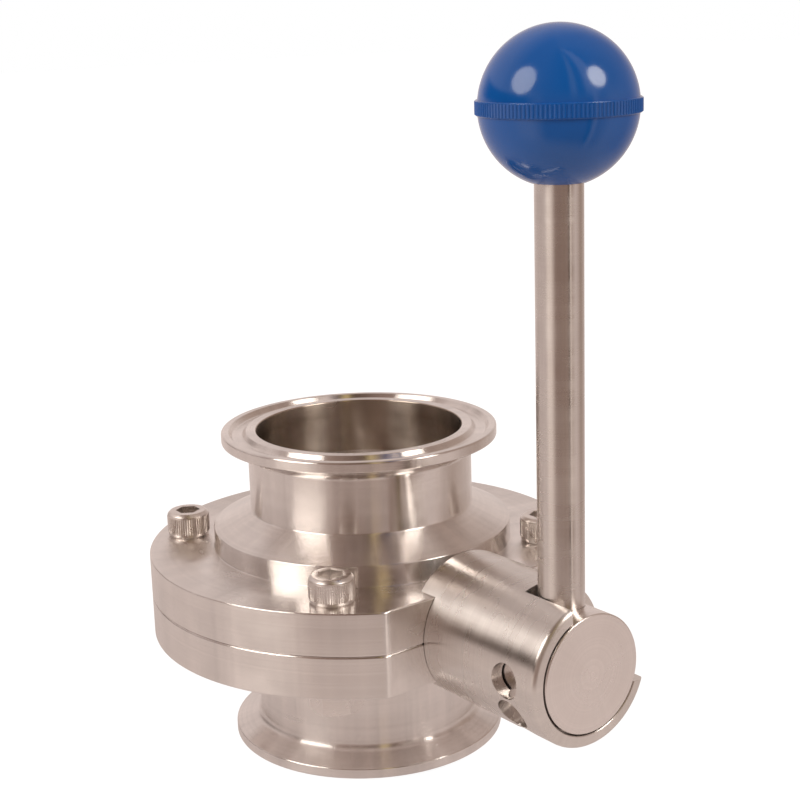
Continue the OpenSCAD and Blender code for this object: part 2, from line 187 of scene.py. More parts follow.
# A dark shelf on the left, a little above the table: it draws the dark band along the lock sleeve.
to_the_left = node(tree, "ShaderNodeMapRange", {"Value": side, "From Min": -0.5, "From Max": -0.8}).outputs[0]
shelf = ramp(tree, height, [(0.0, WHITE), (0.03, WHITE), (0.08, SHELF), (0.24, SHELF), (0.30, WHITE)])
gap = node(tree, "ShaderNodeMix", {0: to_the_left, 6: linear(WHITE), 7: shelf}, data_type="RGBA").outputs[2]
tinted = node(tree, "ShaderNodeVectorMath", {0: upper, 1: gap}, operation="MULTIPLY").outputs[0]
tinted = node(tree, "ShaderNodeVectorMath", {0: tinted, 1: WARM_LAMPS}, operation="MULTIPLY").outputs[0]
seen = node(tree, "ShaderNodeLightPath").outputs["Is Camera Ray"]
shown = node(tree, "ShaderNodeMix", {0: seen, 6: tinted, 7: linear(WHITE)}, data_type="RGBA").outputs[2]
light = node(tree, "ShaderNodeBackground", {"Color": shown, "Strength": 1.0}).outputs[0]
node(tree, "ShaderNodeOutputWorld", {"Surface": light})

bpy.context.scene.view_settings.view_transform = "Standard"
print("room:", len(tree.nodes), "nodes, seen white by the camera itself")


# %% Soft boxes and floor
def soft_box(name, seen_from_knob, radius, watts, distance=1.1):
    """A round lamp, in the direction given as (right, up, towards the camera), aimed at the knob."""
    knob = Vector((ROD_X, 0, KNOB_Z)) * MM
    away = (turned @ Vector(seen_from_knob)).normalized()
    lamp = bpy.data.objects.new(name, bpy.data.lights.new(name, "AREA"))
    bpy.context.scene.collection.objects.link(lamp)
    lamp.data.shape = "DISK"
    lamp.data.size = 2 * radius
    lamp.data.energy = watts
    lamp.data.color = (1.0, 0.95, 0.88)
    aimed = away.to_track_quat("Z", "Y").to_matrix().to_4x4()
    lamp.matrix_world = Matrix.Translation(knob + away * distance) @ aimed
    return lamp


soft_box("soft_box_left", (-0.76, 0.43, 0.48), radius=0.34, watts=5)
soft_box("soft_box_right", (0.7, 0.48, 0.53), radius=0.25, watts=4.5)

floor_mesh = bpy.data.meshes.new("floor")
FLOOR_HALF = 4.0
floor_mesh.from_pydata([(-FLOOR_HALF, -FLOOR_HALF, 0), (FLOOR_HALF, -FLOOR_HALF, 0),
                        (FLOOR_HALF, FLOOR_HALF, 0), (-FLOOR_HALF, FLOOR_HALF, 0)], [], [(0, 1, 2, 3)])
floor = bpy.data.objects.new("floor", floor_mesh)
bpy.context.scene.collection.objects.link(floor)
light_table = bpy.data.materials.new("white_light_table")
light_table.use_nodes = True
tree = light_table.node_tree
top = tree.nodes["Principled BSDF"]
top.inputs["Base Color"].default_value = linear("#8a8784")
top.inputs["Roughness"].default_value = 0.9
from_valve = node(tree, "ShaderNodeVectorMath", {0: node(tree, "ShaderNodeTexCoord").outputs["Object"]},
                  operation="LENGTH").outputs["Value"]
near = node(tree, "ShaderNodeMapRange", {"Value": from_valve, "From Min": 0.24, "From Max": 0.16}).outputs[0]
camera_ray = node(tree, "ShaderNodeLightPath").outputs["Is Camera Ray"]
# The table glows, dimly to the valve and nearly white to the camera, and only near the valve.
GLOW_ON_VALVE, GLOW_TO_CAMERA = (0.45, 0.38, 0.36, 1), (0.90, 0.915, 0.925, 1)
glow = node(tree, "ShaderNodeMix", {0: camera_ray, 6: GLOW_ON_VALVE, 7: GLOW_TO_CAMERA}, data_type="RGBA")
tree.links.new(glow.outputs[2], top.inputs["Emission Color"])
top.inputs["Emission Strength"].default_value = 1.0
solid = node(tree, "ShaderNodeMath", {0: near, 1: camera_ray}, operation="MAXIMUM").outputs[0]
see_through = node(tree, "ShaderNodeBsdfTransparent").outputs[0]
mixed = node(tree, "ShaderNodeMixShader", {0: solid, 1: see_through, 2: top.outputs[0]}).outputs[0]
tree.links.new(mixed, tree.nodes["Material Output"].inputs["Surface"])
floor_mesh.materials.append(light_table)
print("lights:", [lamp.name for lamp in bpy.data.lights])

# %% [markdown]
# A lathe leaves very fine rings round the axis of the work. They can't be drawn one by one, but
# they do two things that show: faint lines, and highlights that stretch across the rings.
# So a turned finish is a noise that depends only on the distance from the axis and along it,
# and an anisotropic gloss whose tangent is worked out from the same axis. Everything reads Object
# coordinates, so the rings stay on the piece when it turns.

# %% Turned and brushed steel
def new_material(name):
    made = bpy.data.materials.new(name)
    made.use_nodes = True
    made.node_tree.nodes.clear()
    return made, made.node_tree


def lathe_place(tree, axis, centre_mm):
    """Distance from the axis, distance along it, direction round it and place, in millimetres."""
    here = node(tree, "ShaderNodeTexCoord").outputs["Object"]
    mapped = node(tree, "ShaderNodeMapping", {"Vector": here, "Location": [-c for c in centre_mm],
                                              "Scale": (1 / MM, 1 / MM, 1 / MM)}).outputs[0]
    along = node(tree, "ShaderNodeVectorMath", {0: mapped, 1: axis}, operation="DOT_PRODUCT").outputs["Value"]
    round_it = node(tree, "ShaderNodeVectorMath", {0: axis, 1: mapped}, operation="CROSS_PRODUCT").outputs[0]
    out = node(tree, "ShaderNodeVectorMath", {0: round_it}, operation="LENGTH").outputs["Value"]
    return out, along, round_it, mapped


def turned_steel(name, hex_colour, roughness, axis=(0, 0, 1), centre_mm=(0, 0, 0), ring_mm=0.5,
                 ring_depth_mm=0.002, stretch=0.5, cloud_mm=9.0, roughness_spread=0.08,
                 reflection_streak_scale=7.0, polish_and_reflection_patches=0.07, bore_mm=0.0, painted_bore_shade_hex="#c9bdb2"):
    """Steel as a lathe or a belt leaves it, with rings round an axis. Nearer the axis than bore_mm it
    takes painted_bore_shade_hex, a darker colour painted as shade in the bore. Its tone also varies in faint
    upright streaks round the axis, partly uneven polish and partly painted reflection bands. Real feed
    marks are about 0.1 mm apart, too fine to show, so rings are drawn coarser."""
    made, tree = new_material(name)
    out, along, round_it, mapped = lathe_place(tree, axis, centre_mm)
    ring_place = node(tree, "ShaderNodeCombineXYZ", {"X": out, "Y": along})
    rings = node(tree, "ShaderNodeTexNoise", {"Vector": ring_place.outputs[0], "Scale": 1 / ring_mm,
                                              "Detail": 3.0, "Roughness": 0.7}).outputs["Fac"]
    bands = node(tree, "ShaderNodeTexNoise", {"Vector": ring_place.outputs[0], "Scale": 1 / (8 * ring_mm),
                                              "Detail": 2.0}).outputs["Fac"]
    clouds = node(tree, "ShaderNodeTexNoise", {"Vector": mapped, "Scale": 1 / cloud_mm,
                                               "Detail": 4.0}).outputs["Fac"]
    # Upright streaks of tone round the axis: partly uneven polish, partly painted reflection bands.
    compass = node(tree, "ShaderNodeVectorMath", {0: round_it}, operation="NORMALIZE").outputs[0]
    polish_and_reflection_streaks = node(tree, "ShaderNodeTexNoise", {"Vector": compass, "Scale": reflection_streak_scale, "Detail": 4.0,
                                                "Roughness": 0.65}).outputs["Fac"]
    mixed = node(tree, "ShaderNodeMath", {0: bands, 1: clouds}, operation="ADD").outputs[0]
    rough = node(tree, "ShaderNodeMapRange", {"Value": mixed, "From Min": 0.7, "From Max": 1.3,
                                              "To Min": max(0.02, roughness - roughness_spread),
                                              "To Max": roughness + roughness_spread}).outputs[0]
    ring_tone = node(tree, "ShaderNodeMapRange", {"Value": rings, "From Min": 0.3, "From Max": 0.7,
                                                  "To Min": 0.96, "To Max": 1.03}).outputs[0]
    polish_and_reflection_patchy = node(tree, "ShaderNodeMath", {0: polish_and_reflection_streaks, 1: clouds}, operation="ADD").outputs[0]
    polish_and_reflection_tone = node(tree, "ShaderNodeMapRange", {"Value": polish_and_reflection_patchy, "From Min": 0.7, "From Max": 1.3,
                                                   "To Min": 1 - polish_and_reflection_patches, "To Max": 1 + polish_and_reflection_patches}).outputs[0]
    tones = node(tree, "ShaderNodeMath", {0: ring_tone, 1: polish_and_reflection_tone}, operation="MULTIPLY").outputs[0]
    # Painted shade: nearer the axis than the bore, the colour is darker and browner.
    outside = node(tree, "ShaderNodeMath", {0: out, 1: bore_mm}, operation="GREATER_THAN").outputs[0]
    steel = node(tree, "ShaderNodeMix", {0: outside, 6: linear(painted_bore_shade_hex), 7: linear(hex_colour)},
                 data_type="RGBA")
    tone = node(tree, "ShaderNodeVectorMath", {0: steel.outputs[2], "Scale": tones}, operation="SCALE")
    bump = node(tree, "ShaderNodeBump", {"Height": rings, "Strength": 1.0, "Distance": ring_depth_mm * MM})
    normal = node(tree, "ShaderNodeTexCoord").outputs["Normal"]
    across = node(tree, "ShaderNodeVectorMath", {0: normal, 1: round_it},
                  operation="CROSS_PRODUCT").outputs[0]
    tangent = node(tree, "ShaderNodeVectorTransform", {0: across}, vector_type="VECTOR",
                   convert_from="OBJECT", convert_to="WORLD").outputs[0]
    shader = node(tree, "ShaderNodeBsdfPrincipled", {
        "Base Color": tone.outputs[0], "Metallic": 1.0, "Roughness": rough, "Anisotropic": stretch,
        "Normal": bump.outputs[0], "Tangent": tangent})
    node(tree, "ShaderNodeOutputMaterial", {"Surface": shader.outputs[0]})
    return made


STEM_AXIS = (0, 0, SPLIT_Z)
ROD_AXIS = (ROD_X, 0, 0)
# Acid-resistant stainless, turned and then buffed: bright, with highlights drawn out across the rings.
# The bore is honed and lies in its own shade; its darker, browner colour is painted shade.
body_steel = turned_steel("polished_turned_stainless_body", "#ebe6e3", 0.23, ring_depth_mm=0.0004,
                          stretch=1.0, roughness_spread=0.05, polish_and_reflection_patches=0.1, bore_mm=BORE_R + 0.2)
# Stainless bar, turned and rubbed with emery cloth: softer, so its highlights are long and blurred.
sleeve_steel = turned_steel("satin_turned_stainless_sleeve", "#e2ddd9", 0.28, axis=(1, 0, 0),
                            centre_mm=STEM_AXIS, ring_depth_mm=0.0002, stretch=0.85, roughness_spread=0.05)
# The same bar, faced off: its flat front shows faint rings and an even grey.
head_steel = turned_steel("satin_turned_stainless_head", "#ece6e3", 0.26, axis=(1, 0, 0),
                          centre_mm=STEM_AXIS, ring_depth_mm=0.001, polish_and_reflection_patches=0.03)
# Drawn stainless bar, brushed round with a belt: soft upright bands of light and shade.
rod_steel = turned_steel("brushed_stainless_bar", "#ddd7d3", 0.29, centre_mm=ROD_AXIS, ring_mm=0.4,
                         ring_depth_mm=0.001, stretch=0.78)
# Stainless plate, ground: an even satin with rings about the disc's own axis.
disc_steel = turned_steel("ground_stainless_disc", "#dad4d0", 0.25, axis=(0, 1, 0), centre_mm=STEM_AXIS)
# Cold-formed stainless screws, tumbled clean: bright with no direction in the gloss.
bolt_steel = turned_steel("bright_stainless_fasteners", "#e8e2de", 0.30, ring_mm=0.3, stretch=0.0)
print("steels:", [m.name for m in bpy.data.materials if "stainless" in m.name])


# %% [markdown]
# The other finishes are plain ones. The knob is pressed from a thermoset resin in a polished mould,
# so it is glossy with a very slight waviness. PTFE is waxy and white, silicone is soft and a little
# cloudy, O-rings are black rubber and the insert of the knob is turned brass.

# %% Plastics, rubber and brass
def moulded(name, hex_colour, roughness, wave_mm, wave_depth_mm, shade=0.06, ior=1.5, weight=0.0):
    """A moulded or pressed material: one colour with faint clouds, and a surface with slow waves."""
    made, tree = new_material(name)
    here = node(tree, "ShaderNodeTexCoord").outputs["Object"]
    waves = node(tree, "ShaderNodeTexNoise", {"Vector": here, "Scale": 1 / (wave_mm * MM),
                                              "Detail": 2.0}).outputs["Fac"]
    clouds = node(tree, "ShaderNodeTexNoise", {"Vector": here, "Scale": 1 / (6 * wave_mm * MM),
                                               "Detail": 5.0}).outputs["Fac"]
    level = node(tree, "ShaderNodeMapRange", {"Value": clouds, "From Min": 0.3, "From Max": 0.7,
                                              "To Min": 1 - shade, "To Max": 1 + shade}).outputs[0]
    tone = node(tree, "ShaderNodeVectorMath", {0: linear(hex_colour)[:3], "Scale": level}, operation="SCALE")
    rough = node(tree, "ShaderNodeMapRange", {"Value": waves, "To Min": roughness * 0.8,
                                              "To Max": roughness * 1.2})
    bump = node(tree, "ShaderNodeBump", {"Height": waves, "Strength": 1.0, "Distance": wave_depth_mm * MM})
    shader = node(tree, "ShaderNodeBsdfPrincipled", {
        "Base Color": tone.outputs[0], "Roughness": rough.outputs[0], "Normal": bump.outputs[0], "IOR": ior,
        "Subsurface Weight": weight, "Subsurface Scale": 0.002})
    node(tree, "ShaderNodeOutputMaterial", {"Surface": shader.outputs[0]})
    return made


# Phenolic resin pressed in a polished mould: a deep, even blue under a sharp gloss.
knob_plastic = moulded("glossy_pressed_thermoset_blue", "#0a5fb6", 0.14, wave_mm=2.5, wave_depth_mm=0.004,
                       ior=1.56)
# Silicone moulded in a matt tool: soft white, slightly cloudy.
silicone = moulded("moulded_white_silicone", "#e6e1d6", 0.45, wave_mm=1.5, wave_depth_mm=0.01, ior=1.41,
                   weight=0.2)
# PTFE, turned from rod: white and waxy, with a dull sheen.
ptfe = moulded("machined_white_ptfe", "#efede8", 0.5, wave_mm=0.6, wave_depth_mm=0.004, ior=1.35, weight=0.15)
# Nitrile rubber, moulded: black and dull.
rubber = moulded("moulded_black_rubber", "#1c1c1c", 0.55, wave_mm=0.4, wave_depth_mm=0.01, shade=0.15)
# Free-cutting brass, turned: yellow, with rings.
brass = turned_steel("turned_brass_insert", "#c9a45c", 0.25, centre_mm=ROD_AXIS)
# Hard-drawn spring wire: grey, with a faint sheen along the wire.
spring_wire = turned_steel("drawn_spring_steel", "#8a8580", 0.3, centre_mm=ROD_AXIS, ring_mm=0.2)
print("other finishes:", [m.name for m in (knob_plastic, silicone, ptfe, rubber, brass, spring_wire)])

# %% [markdown]
# A turned part needs one helper: an outline whose corners carry a small round, spun about an axis.
# The round matters more than it looks: no machined edge is truly sharp, and each one catches a thin
# line of light. Large flat faces keep their own normals with a Weighted Normal modifier, so that
# the small rounds beside them don't shade them.

# %% Turning helpers
def rounded(corners, step=radians(15)):
    """An outline through corners given as (across, up, radius of the round), with each round as an arc."""
    outline = []
    for i, (x, y, radius) in enumerate(corners):
        here = Vector((x, y))
        if not radius:
            outline.append(here)
            continue
        back = (Vector(corners[i - 1][:2]) - here).normalized()
        ahead = (Vector(corners[(i + 1) % len(corners)][:2]) - here).normalized()
        half = back.angle(ahead) / 2
        centre = here + (back + ahead).normalized() * radius / sin(half)
        first = here + back * radius / tan(half) - centre
        swing = first.angle_signed(here + ahead * radius / tan(half) - centre)
        steps = max(2, ceil(abs(swing) / step))
        outline += [centre + Matrix.Rotation(-swing * k / steps, 2) @ first for k in range(steps + 1)]
    return outline


def to_object(name, mesh_data):
    made = bpy.data.objects.new(name, mesh_data)
    bpy.context.scene.collection.objects.link(made)
    return made


def turn_on_lathe(name, outline, steps=192, place=Matrix(), spots=None, shape=None):
    """Spins a closed outline (across, up), in millimetres, about the up axis. spots are the angles of
    the spin, and shape may change the distance across at an angle. place puts it in the frame."""
    spots = spots or [2 * pi * (k + 0.37) / steps for k in range(steps)]
    made = bmesh.new()
    rows = []
    for x, y in outline:
        if abs(x) < 1e-6:
            rows.append([made.verts.new((0, 0, y))] * len(spots))
            continue
        reach = [shape(x, a) if shape else x for a in spots]
        rows.append([made.verts.new((r * cos(a), r * sin(a), y)) for r, a in zip(reach, spots)])
    for i, row in enumerate(rows):
        other = rows[(i + 1) % len(rows)]
        if row[0] == row[1] and other[0] == other[1]:
            continue
        for k in range(len(spots)):
            n = (k + 1) % len(spots)
            corners = [row[k], row[n], other[n], other[k]]
            made.faces.new(list(dict.fromkeys(corners)))
    bmesh.ops.recalc_face_normals(made, faces=made.faces)
    made.transform(Matrix.Scale(MM, 4) @ place)
    if place.determinant() < 0:
        bmesh.ops.reverse_faces(made, faces=made.faces)
    data = bpy.data.meshes.new(name)
    made.to_mesh(data)
    made.free()
    return to_object(name, data)


def apply_modifiers(piece):
    """Turns a piece with modifiers into a plain mesh."""
    ready = bpy.data.meshes.new_from_object(piece.evaluated_get(bpy.context.evaluated_depsgraph_get()))
    piece.modifiers.clear()
    piece.data = ready
    return piece


def cut_with(piece, *tools, operation="DIFFERENCE"):
    """Cuts tools out of a piece, and removes the tools."""
    for tool in tools:
        cutter = piece.modifiers.new("cut", "BOOLEAN")
        cutter.operation, cutter.solver, cutter.object = operation, "EXACT", tool
    apply_modifiers(piece)
    for tool in tools:
        bpy.data.objects.remove(tool)
    return piece


def soften(piece, width_mm=0.0, sharp=radians(40)):
    """Rounds the edges that cutting left, smooths the curved faces and keeps flat faces flat."""
    if width_mm:
        bevel = piece.modifiers.new("edge", "BEVEL")
        bevel.width, bevel.segments, bevel.angle_limit = width_mm * MM, 2, radians(35)
        bevel.use_clamp_overlap = True
        apply_modifiers(piece)
    piece.data.shade_smooth()
    piece.data.set_sharp_from_angle(angle=sharp)
    weighted = piece.modifiers.new("flat", "WEIGHTED_NORMAL")
    weighted.keep_sharp = True
    return apply_modifiers(piece)


def finish_piece(piece, material, body, slot, *replaced):
    """Gives a piece its finish, and ties it to its body and to the CAD nodes that it stands for."""
    piece.data.materials.clear()
    piece.data.materials.append(material)
    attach(piece, body)
    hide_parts(*replaced)
    print(f"{piece.name}: {len(piece.data.polygons)} faces, stands for {', '.join(replaced)}")
    return piece


UP = Matrix()
ALONG_STEM = Matrix.Translation((0, 0, SPLIT_Z)) @ Matrix.Rotation(pi / 2, 4, "Y")
ALONG_DISC = Matrix.Translation((0, 0, SPLIT_Z)) @ Matrix.Rotation(pi / 2, 4, "X")
ALONG_ROD = Matrix.Translation((ROD_X, 0, 0))


def bar(radius, low, high, place=UP, steps=96):
    """A plain round bar, used as a cutting tool."""
    return turn_on_lathe("tool", [(0, low), (radius, low), (radius, high), (0, high)], steps, place)


def block(low, high):
    """A plain block between two corners, used as a cutting tool."""
    data = bpy.data.meshes.new("tool")
    made = bmesh.new()
    bmesh.ops.create_cube(made, size=1)
    middle, size = (Vector(low) + Vector(high)) / 2, Vector(high) - Vector(low)
    made.transform(Matrix.Scale(MM, 4) @ Matrix.Translation(middle) @ Matrix.Diagonal(size.to_4d()))
    made.to_mesh(data)
    made.free()
    return to_object("tool", data)


# %% [markdown]
# Each body half is one turned piece: clamp ferrule, neck, cone, hub and bolted flange, in a single
# outline. The flange has a flat where the sleeve sits. On the lathe mesh that is a rule for the
# distance across: near the handle, no point of the rim may pass the flat. The rounds of the rim
# follow it, because each point keeps its own distance from the edge. The upper half is the mirror
# image of the lower one.

# %% Body halves
def half_outline():
    flange_z = SPLIT_Z - FLANGE_T
    hub_z = flange_z - HUB_H
    neck_foot_z = RIM_H + (FERRULE_R - NECK_R) * tan(BACK_SLOPE)
    return rounded([
        (BORE_R, 0, 0.35), (26.2, 0, 0.25), (27.1, 1.2, 0.7), (29.4, 1.2, 0.7), (30.3, 0, 0.25),
        (FERRULE_R, 0, 0.5), (FERRULE_R, RIM_H, 0.4), (NECK_R, neck_foot_z, 2.0),
        (NECK_R, hub_z - CONE_H, 0.5), (HUB_R, hub_z, 0.3), (HUB_R, flange_z, 0.25),
        (FLANGE_R, flange_z, 0.35), (FLANGE_R, SPLIT_Z, 0.45), (SEAT_R, SPLIT_Z, 0.2),
        (SEAT_R, SPLIT_Z - 7, 0), (LIP_R, SPLIT_Z - 7, 0), (LIP_R, SPLIT_Z - 9.5, 0),
        (DISC_BORE_R, SPLIT_Z - 9.5, 0.2), (DISC_BORE_R, DISC_BORE_Z, 0), (BORE_R, DISC_BORE_Z, 0)])


def flat_on_rim(x, angle):
    """The distance across of a rim point, held back to the flat."""
    if x < FLANGE_R - 1 or cos(angle) <= 0:
        return x
    return min(x, (FLAT_X - (FLANGE_R - x)) / cos(angle))


flat_angle = acos(FLAT_X / FLANGE_R)
flat_spots = [flat_angle * (k / 20 - 1) for k in range(41)]
rim_spots = [flat_angle + 2 * (pi - flat_angle) * k / 200 for k in range(1, 200)]
spots = flat_spots + rim_spots

MIRRORED = Matrix.Translation((0, 0, 2 * SPLIT_Z)) @ Matrix.Scale(-1, 4, (0, 0, 1))
SCREW_HOLE_R, BUSH_END_X = 3.2, -43.2
for name, place in (("lower_body", UP), ("upper_body", MIRRORED)):
    half = turn_on_lathe(name + "_turned", half_outline(), spots=spots, shape=flat_on_rim, place=place)
    holes = []
    for k in range(4):
        corner = Matrix.Rotation(pi / 4 + k * pi / 2, 4, "Z") @ Matrix.Translation((SCREW_CIRCLE_R, 0, 0))
        holes.append(bar(SCREW_HOLE_R, 20, 54, corner, 48))
    cut_with(half, bar(BUSH_R, BUSH_END_X, 60, ALONG_STEM), *holes)
    soften(half)
    finish_piece(half, body_steel, "valve_body", "body_steel", name)

# %% [markdown]
# The lock sleeve is turned too, then milled: a slot for the rod that takes away the upper rear
# quarter of its front end, four drilled holes for the lock pin, and a notch at the back where it
# straddles the flange. Cutting is done with Boolean tools, and a small bevel breaks the new edges.

# %% Lock sleeve
sleeve = turn_on_lathe("lock_sleeve_milled", rounded([
    (6.4, FLAT_X + 0.1, 0), (6.4, SLEEVE_LOW.x, 0), (SLEEVE_R, SLEEVE_LOW.x, 0.3),
    (SLEEVE_R, SLEEVE_HIGH.x, 1.1),
    (SLEEVE_BORE_R, SLEEVE_HIGH.x, 0.3), (SLEEVE_BORE_R, 47.5, 0), (6.4, 47.5, 0)]), 240, ALONG_STEM)
SLOT_X, SLOT_EDGE, DETENT_R = 63.4, 5.1, 3.8
slot = block((SLOT_X, -SLOT_EDGE, SPLIT_Z - SLOT_EDGE), (90, 30, SPLIT_Z + 30))
notch = block((30, -30, SPLIT_Z - FLANGE_T - 0.02), (FLAT_X + 0.1, 30, SPLIT_Z + FLANGE_T + 0.02))
on_rod_line = Matrix.Translation((ROD_X, 0, SPLIT_Z))
holes = [bar(DETENT_R, 10, 20, on_rod_line @ Matrix.Rotation(radians(90 + 30 * k), 4, "X"), 64)
         for k in range(4)]
cut_with(sleeve, notch, slot, *holes)
soften(sleeve, width_mm=0.22)
finish_piece(sleeve, sleeve_steel, "valve_body", "sleeve_steel", "lock_sleeve")

# %% [markdown]
# The handle head is a short round block in the sleeve, faced off flat at the front. The rod passes
# through it, so it is cross drilled: a close hole above and a wider one below for the spring.

# %% Handle head
head = turn_on_lathe("handle_head_turned", rounded([
    (0, HEAD_LOW.x, 0), (HEAD_R, HEAD_LOW.x, 0.3), (HEAD_R, HEAD_HIGH.x, 0.35), (0, HEAD_HIGH.x, 0)]),
    192, ALONG_STEM)
cut_with(head, bar(ROD_R + 0.06, 0, 20, on_rod_line), bar(6.5, -20, 4.3, on_rod_line),
         bar(STEM_R + 0.05, HEAD_LOW.x - 1, HEAD_LOW.x + 10.8, ALONG_STEM))
soften(head)
finish_piece(head, head_steel, "handle_head", "sleeve_steel", "handle_head")

# %% [markdown]
# The pull rod is a length of brushed bar with the lock pin turned at its foot, and a groove for the
# snap ring. A plain cylinder would do for the shank, but one outline keeps pin, groove and shank in line.

# %% Pull rod
PIN_R, PIN_TOP_Z = 3.5, SPLIT_Z - 2.9
rod = turn_on_lathe("pull_rod_brushed", rounded([
    (0, ROD_LOW.z, 0), (PIN_R, ROD_LOW.z, 0.7), (PIN_R, PIN_TOP_Z, 0), (ROD_R, PIN_TOP_Z, 0.3),
    (ROD_R, SPLIT_Z - 2.4, 0), (4.2, SPLIT_Z - 2.4, 0), (4.2, SPLIT_Z - 1.4, 0), (ROD_R, SPLIT_Z - 1.4, 0),
    (ROD_R, 136.0, 0), (4, 136.0, 0), (4, ROD_HIGH.z, 0), (0, ROD_HIGH.z, 0)]), 96, ALONG_ROD)
soften(rod)
finish_piece(rod, rod_steel, "pull_rod", "rod_steel", "pull_rod")


# %% [markdown]
# Geometry Nodes from here on. The helper below makes a tree with named inputs. Each tree ends by
# making its instances real and setting the material, and the result is kept as a plain mesh.

# %% Geometry Nodes helpers
def new_tree(name, inputs):
    """A node tree that takes and gives geometry. inputs maps a name to (socket type, value).
    Returns the tree, and the socket that each name gives inside it."""
    tree = bpy.data.node_groups.new(name, "GeometryNodeTree")
    tree.interface.new_socket("Geometry", in_out="OUTPUT", socket_type="NodeSocketGeometry")
    tree.interface.new_socket("Geometry", in_out="INPUT", socket_type="NodeSocketGeometry")
    for label, (kind, value) in inputs.items():
        tree.interface.new_socket(label, in_out="INPUT", socket_type=kind).default_value = value
    start = tree.nodes.new("NodeGroupInput")
    return tree, {s.name: s for s in start.outputs if s.name}


def end_tree(tree, geometry, material):
    real = node(tree, "GeometryNodeRealizeInstances", {"Geometry": geometry})
    painted = node(tree, "GeometryNodeSetMaterial", {"Geometry": real.outputs[0], "Material": material})
    node(tree, "NodeGroupOutput", {"Geometry": painted.outputs[0]})
    return tree


def run_tree(piece, tree, **values):
    """Runs a tree on a piece with the values given by input name, and keeps the result as its mesh."""
    modifier = piece.modifiers.new(tree.name, "NODES")
    modifier.node_group = tree
    names = {s.name: s.identifier for s in tree.interface.items_tree if s.in_out == "INPUT"}
    for label, value in values.items():
        modifier[names[label.replace("_", " ")]] = value
    return apply_modifiers(piece)


def around_circle(tree, geometry, count, radius, height, first_angle):
    """Instances of a geometry round the up axis, each turned to face outwards."""
    line = node(tree, "GeometryNodePoints", {"Count": count}).outputs[0]
    number = node(tree, "GeometryNodeInputIndex").outputs[0]
    share = node(tree, "ShaderNodeMath", {0: number, 1: count}, operation="DIVIDE").outputs[0]
    swing = node(tree, "ShaderNodeMath", {0: share, 1: 2 * pi, 2: first_angle},
                 operation="MULTIPLY_ADD").outputs[0]
    turn = node(tree, "ShaderNodeCombineXYZ", {"Z": swing}).outputs[0]
    arm = node(tree, "ShaderNodeCombineXYZ", {"X": radius, "Z": height}).outputs[0]
    place = node(tree, "ShaderNodeVectorRotate", {"Vector": arm, "Rotation": turn}, rotation_type="EULER_XYZ")
    spread = node(tree, "GeometryNodeSetPosition", {"Geometry": line,
                                                    "Position": place.outputs[0]}).outputs[0]
    facing = node(tree, "FunctionNodeEulerToRotation", {0: turn}).outputs[0]
    return node(tree, "GeometryNodeInstanceOnPoints", {"Points": spread, "Instance": geometry,
                                                       "Rotation": facing})


# %% [markdown]
# A socket head screw has a straight knurl pressed into the side of its head. One blank screw is
# turned, with its hexagon socket cut. A tree then sets a ring of small ridges round the head and
# places the finished screw at the four corners of the flange. The ridges on a real M6 head are
# about half a millimetre apart. The same tree places the nuts, with a ridge count of zero. An Array
# modifier could do the same, but a tree keeps each size as an input with a name.

# %% Clamp screws
def screw_ring_tree(material):
    tree, given = new_tree("screws on a circle", {
        "Circle radius": ("NodeSocketFloat", 0.04), "Height": ("NodeSocketFloat", 0.0),
        "Count": ("NodeSocketInt", 4), "Ridge count": ("NodeSocketInt", 60),
        "Ridge radius": ("NodeSocketFloat", 0.005), "Ridge length": ("NodeSocketFloat", 0.004),
        "Ridge height": ("NodeSocketFloat", 0.003), "Ridge size": ("NodeSocketFloat", 0.0002)})
    rod_mesh = node(tree, "GeometryNodeMeshCylinder", {
        "Vertices": 6, "Radius": given["Ridge size"], "Depth": given["Ridge length"]}).outputs[0]
    ridges = around_circle(tree, rod_mesh, given["Ridge count"], given["Ridge radius"],
                           given["Ridge height"], 0.0)
    joined = node(tree, "GeometryNodeJoinGeometry")
    tree.links.new(given["Geometry"], joined.inputs[0])
    tree.links.new(ridges.outputs[0], joined.inputs[0])
    placed = around_circle(tree, joined.outputs[0], given["Count"], given["Circle radius"],
                           given["Height"], pi / 4)
    return end_tree(tree, placed.outputs[0], material)


def hexagon(width, low, high, turn=0.0):
    """A hexagonal tool, given by its width across the flats."""
    place = Matrix.Rotation(turn, 4, "Z")
    reach = width / 2 / cos(pi / 6)
    return turn_on_lathe("tool", [(0, low), (reach, low), (reach, high), (0, high)], place=place,
                         spots=[k * pi / 3 for k in range(6)])


SCREW_Z = SPLIT_Z + FLANGE_T
HEAD_OF_SCREW_H, SCREW_R, SCREW_LEN = 6.0, 3.0, 25.0
screw = turn_on_lathe("clamp_screws_knurled", rounded([
    (0, -SCREW_LEN, 0), (SCREW_R - 0.6, -SCREW_LEN, 0), (SCREW_R, 0.6 - SCREW_LEN, 0.2), (SCREW_R, 0, 0),
    (4.55, 0, 0.2), (4.86, 0.45, 0.2), (4.86, 5.35, 0.3), (4.2, HEAD_OF_SCREW_H, 0.25),
    (0, HEAD_OF_SCREW_H, 0)]), 96)
cut_with(screw, hexagon(5, HEAD_OF_SCREW_H - 3, HEAD_OF_SCREW_H + 1, radians(12)))
soften(screw, width_mm=0.12)
screw_tree = screw_ring_tree(bolt_steel)
run_tree(screw, screw_tree, Circle_radius=SCREW_CIRCLE_R * MM, Height=SCREW_Z * MM, Count=4, Ridge_count=60,
         Ridge_radius=4.84 * MM, Ridge_length=3.9 * MM, Ridge_height=2.95 * MM, Ridge_size=0.16 * MM)
finish_piece(screw, bolt_steel, "valve_body", "fastener_steel", "clamp_screws")

